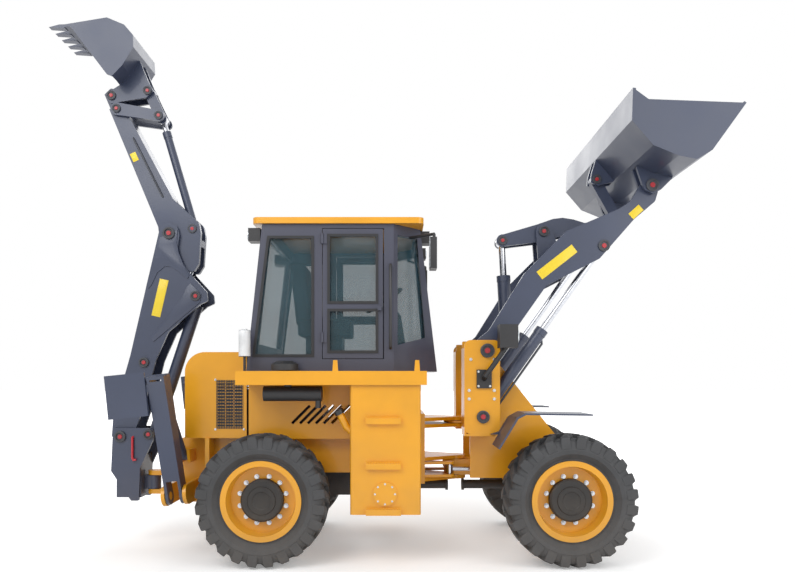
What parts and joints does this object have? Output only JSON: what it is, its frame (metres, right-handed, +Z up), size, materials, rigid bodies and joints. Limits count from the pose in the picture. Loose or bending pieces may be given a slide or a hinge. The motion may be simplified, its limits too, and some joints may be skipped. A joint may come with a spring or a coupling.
{
  "type": "articulated backhoe loader",
  "caption": "Articulated backhoe loader with a raised front bucket, glazed cab, rear dig arm on a swing post and folded stabilisers.",
  "frame": {"origin": "on the floor under the middle of the machine's outer box at rest", "axes": "+X forward to the loader, +Y to the machine's left, +Z up"},
  "size_m": [6.421, 2.25, 5.213],
  "materials": {
    "yellow_paint": "gloss enamel",
    "grey_paint": "satin enamel",
    "chrome_rod": "polished hard chrome",
    "black_metal": "black enamel on castings",
    "tyre_rubber": "matt rubber",
    "black_plastic": "matt moulding",
    "tinted_glass": "tinted sheet glass"
  },
  "bodies": {
    "rear_frame": {"rear_chassis": "yellow_paint", "rear_axle": "black_metal", "powertrain": "black_metal", "hood": "yellow_paint", "intake": "black_plastic", "platform": "yellow_paint", "cab_shell": "grey_paint", "cab_glass": "tinted_glass", "cab_roof": "yellow_paint", "cab_interior": "black_plastic", "cab_lamps": "black_plastic", "backhoe_frame": "yellow_paint"},
    "front_frame": {"front_chassis": "yellow_paint", "front_axle": "black_metal", "front_fenders": "grey_paint", "headlamps": "black_plastic"},
    "wheel_front_right": {"tyre_front_right": "tyre_rubber", "rim_front_right": "yellow_paint"},
    "wheel_front_left": {"tyre_front_left": "tyre_rubber", "rim_front_left": "yellow_paint"},
    "wheel_rear_right": {"tyre_rear_right": "tyre_rubber", "rim_rear_right": "yellow_paint"},
    "wheel_rear_left": {"tyre_rear_left": "tyre_rubber", "rim_rear_left": "yellow_paint"},
    "door_right": {"door_right": "grey_paint", "door_glass_right": "tinted_glass"},
    "door_left": {"door_left": "grey_paint", "door_glass_left": "tinted_glass"},
    "boom_barrel": {"boom_barrel": "grey_paint"},
    "boom_rod": {"boom_rod": "chrome_rod"},
    "bucket_barrel": {"bucket_barrel": "grey_paint"},
    "bucket_link": {"bucket_link": "grey_paint"},
    "bucket_rod": {"bucket_rod": "chrome_rod"},
    "dig_boom": {"dig_boom": "grey_paint"},
    "dig_bucket": {"dig_bucket": "grey_paint"},
    "dig_link": {"dig_link": "grey_paint"},
    "dipper": {"dipper": "grey_paint"},
    "dipper_barrel": {"dipper_barrel": "grey_paint"},
    "dipper_rod": {"dipper_rod": "chrome_rod"},
    "guide_levers": {"guide_levers": "grey_paint"},
    "lift_barrels": {"lift_barrels": "grey_paint"},
    "lift_rods": {"lift_rods": "chrome_rod"},
    "loader_arm": {"loader_arm": "grey_paint"},
    "loader_bucket": {"loader_bucket": "grey_paint"},
    "rocker": {"rocker": "grey_paint"},
    "stab_barrel_left": {"stab_barrel_left": "grey_paint"},
    "stab_barrel_right": {"stab_barrel_right": "grey_paint"},
    "stab_leg_left": {"stab_leg_left": "grey_paint"},
    "stab_leg_right": {"stab_leg_right": "grey_paint"},
    "stab_pad_left": {"stab_pad_left": "grey_paint"},
    "stab_pad_right": {"stab_pad_right": "grey_paint"},
    "stab_rod_left": {"stab_rod_left": "chrome_rod"},
    "stab_rod_right": {"stab_rod_right": "chrome_rod"},
    "steer_barrel_left": {"steer_barrel_left": "black_metal"},
    "steer_barrel_right": {"steer_barrel_right": "black_metal"},
    "steer_rod_left": {"steer_rod_left": "chrome_rod"},
    "steer_rod_right": {"steer_rod_right": "chrome_rod"},
    "swing_post": {"swing_post": "grey_paint"},
    "tilt_barrel": {"tilt_barrel": "grey_paint"},
    "tilt_rod": {"tilt_rod": "chrome_rod"}
  },
  "joints": [
    {"name": "steer", "type": "hinge", "parent": "rear_frame", "child": "front_frame", "pos_m": [0.8, 0, 0.78], "axis": [0, 0, 1], "range_deg": [-35, 35]},
    {"name": "roll_front_right", "type": "hinge", "parent": "front_frame", "child": "wheel_front_right", "pos_m": [1.75, -0.835, 0.59], "axis": [0, 1, 0], "continuous": true},
    {"name": "roll_front_left", "type": "hinge", "parent": "front_frame", "child": "wheel_front_left", "pos_m": [1.75, 0.835, 0.59], "axis": [0, 1, 0], "continuous": true},
    {"name": "roll_rear_right", "type": "hinge", "parent": "rear_frame", "child": "wheel_rear_right", "pos_m": [-0.988, -0.835, 0.59], "axis": [0, 1, 0], "continuous": true},
    {"name": "roll_rear_left", "type": "hinge", "parent": "rear_frame", "child": "wheel_rear_left", "pos_m": [-0.988, 0.835, 0.59], "axis": [0, 1, 0], "continuous": true},
    {"name": "loader_lift", "type": "hinge", "parent": "front_frame", "child": "loader_arm", "pos_m": [1.055, 0, 1.932], "axis": [0, -1, 0], "range_deg": [-96, 2]},
    {"name": "bucket_tilt", "type": "hinge", "parent": "loader_arm", "child": "loader_bucket", "pos_m": [2.597, 0, 3.479], "axis": [0, 1, 0], "range_deg": [-42, 85]},
    {"name": "lift_swivel", "type": "hinge", "parent": "front_frame", "child": "lift_barrels", "pos_m": [1.015, 0, 1.312], "axis": [0, -1, 0], "range_deg": [-82.44, 2.21]},
    {"name": "lift_stroke", "type": "slide", "parent": "lift_barrels", "child": "lift_rods", "axis": [0.5791, 0, 0.8152], "range_m": [-0.8689, 0.022]},
    {"name": "rocker_turn", "type": "hinge", "parent": "loader_arm", "child": "rocker", "pos_m": [1.692, 0, 3.154], "axis": [0, -1, 0], "range_deg": [-8.06, 15.8]},
    {"name": "link_turn", "type": "hinge", "parent": "loader_bucket", "child": "bucket_link", "pos_m": [2.235, 0, 3.69], "axis": [0, -1, 0], "range_deg": [-15.62, 31.1]},
    {"name": "tilt_swivel", "type": "hinge", "parent": "loader_arm", "child": "tilt_barrel", "pos_m": [1.335, 0, 2.1], "axis": [0, -1, 0], "range_deg": [-1.96, 1.22]},
    {"name": "tilt_stroke", "type": "slide", "parent": "tilt_barrel", "child": "tilt_rod", "axis": [-0.0556, 0, 0.9985], "range_m": [-0.1115, 0.0571]},
    {"name": "steer_swivel_right", "type": "hinge", "parent": "front_frame", "child": "steer_barrel_right", "pos_m": [1.5, -0.245, 0.779], "axis": [0, 0, 1], "range_deg": [-2.99, 2.99]},
    {"name": "steer_stroke_right", "type": "slide", "parent": "steer_barrel_right", "child": "steer_rod_right", "axis": [-1, 0, 0], "range_m": [-0.1465, 0.1465]},
    {"name": "steer_swivel_left", "type": "hinge", "parent": "front_frame", "child": "steer_barrel_left", "pos_m": [1.5, 0.245, 0.779], "axis": [0, 0, 1], "range_deg": [-2.99, 2.99]},
    {"name": "steer_stroke_left", "type": "slide", "parent": "steer_barrel_left", "child": "steer_rod_left", "axis": [-1, 0, 0], "range_m": [-0.1465, 0.1465]},
    {"name": "swing", "type": "hinge", "parent": "rear_frame", "child": "swing_post", "pos_m": [-2.27, 0, 0.62], "axis": [0, 0, 1], "range_deg": [-90, 90]},
    {"name": "dig_boom", "type": "hinge", "parent": "swing_post", "child": "dig_boom", "pos_m": [-2.552, 0, 1.09], "axis": [0, -1, 0], "range_deg": [0, 100]},
    {"name": "dipper", "type": "hinge", "parent": "dig_boom", "child": "dipper", "pos_m": [-2.078, 0, 3.129], "axis": [0, 1, 0], "range_deg": [-100, 5]},
    {"name": "dig_bucket", "type": "hinge", "parent": "dipper", "child": "dig_bucket", "pos_m": [-2.68, 0, 4.535], "axis": [0, -1, 0], "range_deg": [-10, 140]},
    {"name": "boom_swivel", "type": "hinge", "parent": "swing_post", "child": "boom_barrel", "pos_m": [-2.272, 0, 1.113], "axis": [0, -1, 0], "range_deg": [-0.5, 96.24]},
    {"name": "boom_stroke", "type": "slide", "parent": "boom_barrel", "child": "boom_rod", "axis": [0.315, 0, 0.9491], "range_m": [-0.004, 0.4243]},
    {"name": "dipper_swivel", "type": "hinge", "parent": "dig_boom", "child": "dipper_barrel", "pos_m": [-2.33, 0, 1.832], "axis": [0, -1, 0], "range_deg": [-0.68, 4.02]},
    {"name": "dipper_stroke", "type": "slide", "parent": "dipper_barrel", "child": "dipper_rod", "axis": [0.4141, 0, 0.9102], "range_m": [-0.0318, 0.5604]},
    {"name": "guide_turn", "type": "hinge", "parent": "dipper", "child": "guide_levers", "pos_m": [-2.608, 0, 4.384], "axis": [0, -1, 0], "range_deg": [-8.49, 112.34]},
    {"name": "dig_link_turn", "type": "hinge", "parent": "dig_bucket", "child": "dig_link", "pos_m": [-2.315, 0, 4.584], "axis": [0, -1, 0], "range_deg": [-62.69, 4.94]},
    {"name": "bucket_swivel", "type": "hinge", "parent": "dipper", "child": "bucket_barrel", "pos_m": [-1.855, 0, 3.183], "axis": [0, -1, 0], "range_deg": [-1.12, 9.13]},
    {"name": "bucket_stroke", "type": "slide", "parent": "bucket_barrel", "child": "bucket_rod", "axis": [-0.2807, 0, 0.9598], "range_m": [-0.0561, 0.7337]},
    {"name": "stab_right", "type": "hinge", "parent": "rear_frame", "child": "stab_leg_right", "pos_m": [-1.79, -0.8, 0.615], "axis": [0.9949, 0, 0.1011], "range_deg": [0, 118]},
    {"name": "pad_right", "type": "hinge", "parent": "stab_leg_right", "child": "stab_pad_right", "pos_m": [-2.15476, -0.985, 1.6233], "axis": [0.9949, 0, 0.1011], "range_deg": [-40, 40]},
    {"name": "stab_swivel_right", "type": "hinge", "parent": "rear_frame", "child": "stab_barrel_right", "pos_m": [-1.82183, -0.48, 0.92839], "axis": [0.9949, 0, 0.1011], "range_deg": [-0.5, 98.29]},
    {"name": "stab_stroke_right", "type": "slide", "parent": "stab_barrel_right", "child": "stab_rod_right", "axis": [-0.0855, -0.533, 0.8418], "range_m": [-0.004, 0.6692]},
    {"name": "stab_left", "type": "hinge", "parent": "rear_frame", "child": "stab_leg_left", "pos_m": [-1.79, 0.8, 0.615], "axis": [-0.9949, 0, -0.1011], "range_deg": [0, 118]},
    {"name": "pad_left", "type": "hinge", "parent": "stab_leg_left", "child": "stab_pad_left", "pos_m": [-2.15476, 0.985, 1.6233], "axis": [-0.9949, 0, -0.1011], "range_deg": [-40, 40]},
    {"name": "stab_swivel_left", "type": "hinge", "parent": "rear_frame", "child": "stab_barrel_left", "pos_m": [-1.82183, 0.48, 0.92839], "axis": [-0.9949, 0, -0.1011], "range_deg": [-0.5, 98.29]},
    {"name": "stab_stroke_left", "type": "slide", "parent": "stab_barrel_left", "child": "stab_rod_left", "axis": [-0.0855, 0.533, 0.8418], "range_m": [-0.004, 0.6692]},
    {"name": "door_right", "type": "hinge", "parent": "rear_frame", "child": "door_right", "pos_m": [-0.472, -0.7745, 2.4], "axis": [0, 0, -1], "range_deg": [0, 75]},
    {"name": "door_left", "type": "hinge", "parent": "rear_frame", "child": "door_left", "pos_m": [-0.472, 0.7745, 2.4], "axis": [0, 0, 1], "range_deg": [0, 75]}
  ],
  "couplings": [
    {"joint": "lift_swivel", "follows": "loader_lift", "ratio": 0.85349},
    {"joint": "lift_stroke", "follows": "loader_lift", "m_per_rad": 0.51619},
    {"joint": "rocker_turn", "follows": "bucket_tilt", "ratio": 0.18},
    {"joint": "link_turn", "follows": "bucket_tilt", "ratio": 0.36},
    {"joint": "tilt_swivel", "follows": "bucket_tilt", "ratio": -0.017217},
    {"joint": "tilt_stroke", "follows": "bucket_tilt", "m_per_rad": -0.07246},
    {"joint": "steer_swivel_right", "follows": "steer", "ratio": -0.071251},
    {"joint": "steer_stroke_right", "follows": "steer", "m_per_rad": 0.23328},
    {"joint": "steer_swivel_left", "follows": "steer", "ratio": -0.071251},
    {"joint": "steer_stroke_left", "follows": "steer", "m_per_rad": -0.23328},
    {"joint": "boom_swivel", "follows": "dig_boom", "ratio": 0.95741},
    {"joint": "boom_stroke", "follows": "dig_boom", "m_per_rad": 0.2408},
    {"joint": "dipper_swivel", "follows": "dipper", "ratio": -0.03521},
    {"joint": "dipper_stroke", "follows": "dipper", "m_per_rad": -0.31882},
    {"joint": "guide_turn", "follows": "dig_bucket", "ratio": 0.79885},
    {"joint": "dig_link_turn", "follows": "dig_bucket", "ratio": -0.4442},
    {"joint": "bucket_swivel", "follows": "dig_bucket", "ratio": 0.061649},
    {"joint": "bucket_stroke", "follows": "dig_bucket", "m_per_rad": 0.29864},
    {"joint": "stab_swivel_right", "follows": "stab_right", "ratio": 0.82876},
    {"joint": "stab_stroke_right", "follows": "stab_right", "m_per_rad": 0.323},
    {"joint": "stab_swivel_left", "follows": "stab_left", "ratio": 0.82876},
    {"joint": "stab_stroke_left", "follows": "stab_left", "m_per_rad": 0.323}
  ]
}
